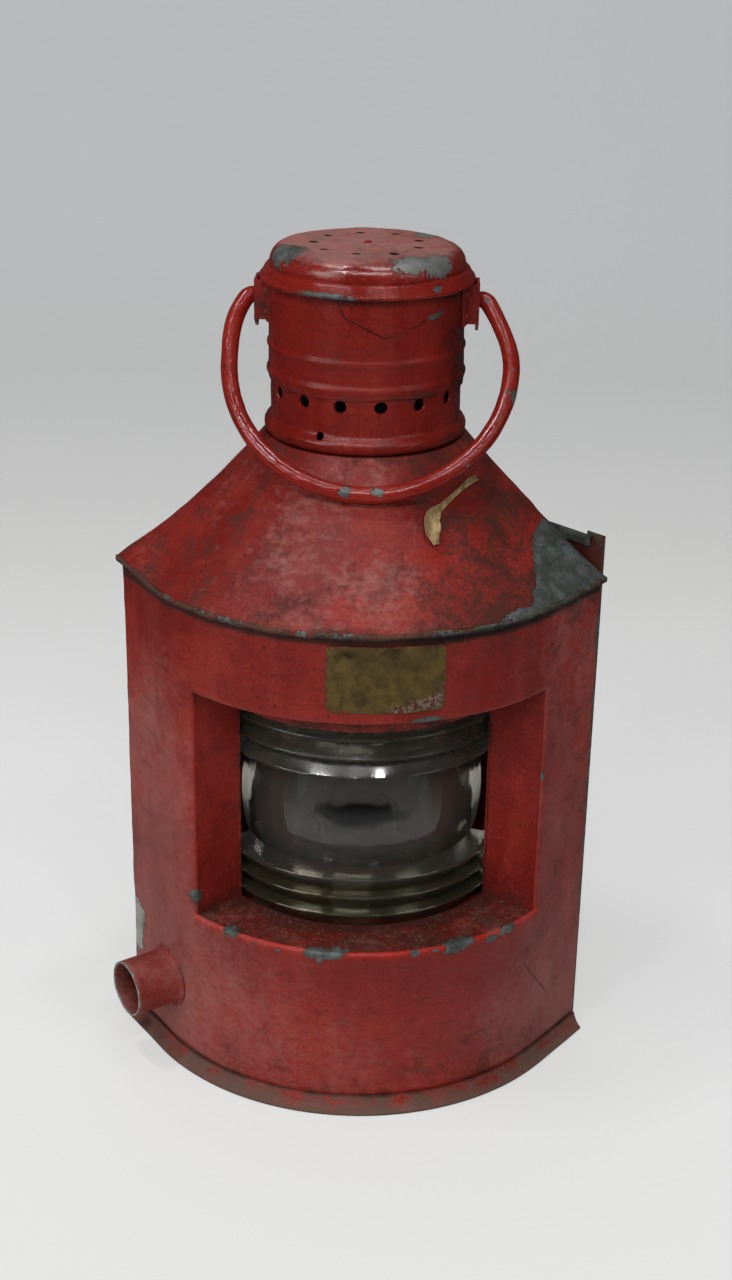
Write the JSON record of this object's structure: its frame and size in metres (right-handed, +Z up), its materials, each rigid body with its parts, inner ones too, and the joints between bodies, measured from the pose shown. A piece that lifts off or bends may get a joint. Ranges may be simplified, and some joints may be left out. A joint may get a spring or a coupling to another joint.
{
  "type": "ship's oil lamp",
  "caption": "Corner-pattern ship's oil lamp with a curved front, recessed drum lens, ventilated chimney, swinging bail, rear sliding door and an oil font with burner inside.",
  "frame": {"origin": "on the surface the lamp stands on, on the shared axis of lens, burner and chimney", "axes": "+Z up the chimney, -Y towards the curved front and the lens, +X towards the corner with the sliding door's guide"},
  "size_m": [0.261, 0.2177, 0.4394],
  "materials": {
    "red_paint": "old brick-red paint on sheet steel, dull, dusty and chipped",
    "red_paint_worn": "dark grimy red paint, worn to bare metal along the edges",
    "bare_steel": "dull grey-green zinc-coated sheet",
    "old_brass": "tarnished olive-brown brass",
    "tinplate": "dull tinned sheet",
    "lens_glass": "pressed clear glass, dusty, with a grey-olive tint",
    "packing_felt": "dark packing strip",
    "cotton_wick": "flat woven cotton"
  },
  "bodies": {
    "casing": {"base_tray": "red_paint_worn", "front_shell": "red_paint", "rear_wall_left": "red_paint", "rear_wall_right": "red_paint", "window_sill": "red_paint_worn", "window_head": "red_paint", "window_cheek_left": "red_paint", "window_cheek_right": "red_paint", "roof": "red_paint", "eave_bead": "bare_steel", "door_guide_corner": "red_paint", "door_guide_apex": "red_paint", "inlet_pipe": "red_paint", "name_plate": "old_brass", "mount_socket": "red_paint", "mount_rivets": "red_paint", "chimney_collar": "red_paint", "collar_rivets": "red_paint", "chimney_sleeve": "red_paint", "cap_rim": "red_paint", "cap_crown": "red_paint", "baffle_stem": "bare_steel", "wind_baffle": "bare_steel", "inner_flue": "bare_steel", "flue_spider": "bare_steel", "bail_ear_left": "red_paint", "bail_ear_right": "red_paint", "ear_rivets": "red_paint", "lens": "lens_glass", "lens_rim_bottom": "bare_steel", "lens_rim_top": "bare_steel", "lens_stile_left": "bare_steel", "lens_stile_right": "bare_steel", "lens_packing_bottom": "packing_felt", "lens_packing_top": "packing_felt", "font_tray": "bare_steel", "font_tank": "tinplate", "filler_neck": "old_brass", "burner_collar": "old_brass", "burner_body": "old_brass", "wick_tube": "old_brass", "burner_cone": "old_brass", "reflector": "tinplate", "reflector_stem": "tinplate"},
    "bail": {"bail_handle": "red_paint"},
    "door": {"sliding_door": "red_paint"},
    "plug": {"filler_plug": "old_brass"},
    "wick": {"wick": "cotton_wick"},
    "wick_drive": {"wick_spindle": "old_brass", "wick_knob": "old_brass"}
  },
  "joints": [
    {"name": "bail_swing", "type": "hinge", "parent": "casing", "child": "bail", "pos_m": [0, 0, 0.4115], "axis": [-1, 0, 0], "range_deg": [0, 159]},
    {"name": "door_slide", "type": "slide", "parent": "casing", "child": "door", "axis": [0, 0, 1], "range_m": [0, 0.19]},
    {"name": "plug_pull", "type": "slide", "parent": "casing", "child": "plug", "axis": [0, 0, 1], "range_m": [0, 0.008]},
    {"name": "wick_knob_turn", "type": "hinge", "parent": "casing", "child": "wick_drive", "pos_m": [0, 0.0055, 0.1025], "axis": [-1, 0, 0], "range_deg": [0, 170]},
    {"name": "wick_rise", "type": "slide", "parent": "casing", "child": "wick", "axis": [0, 0, 1], "range_m": [0, 0.0118]}
  ],
  "couplings": [
    {"joint": "wick_knob_turn", "follows": "wick_rise", "rad_per_m": 250}
  ]
}
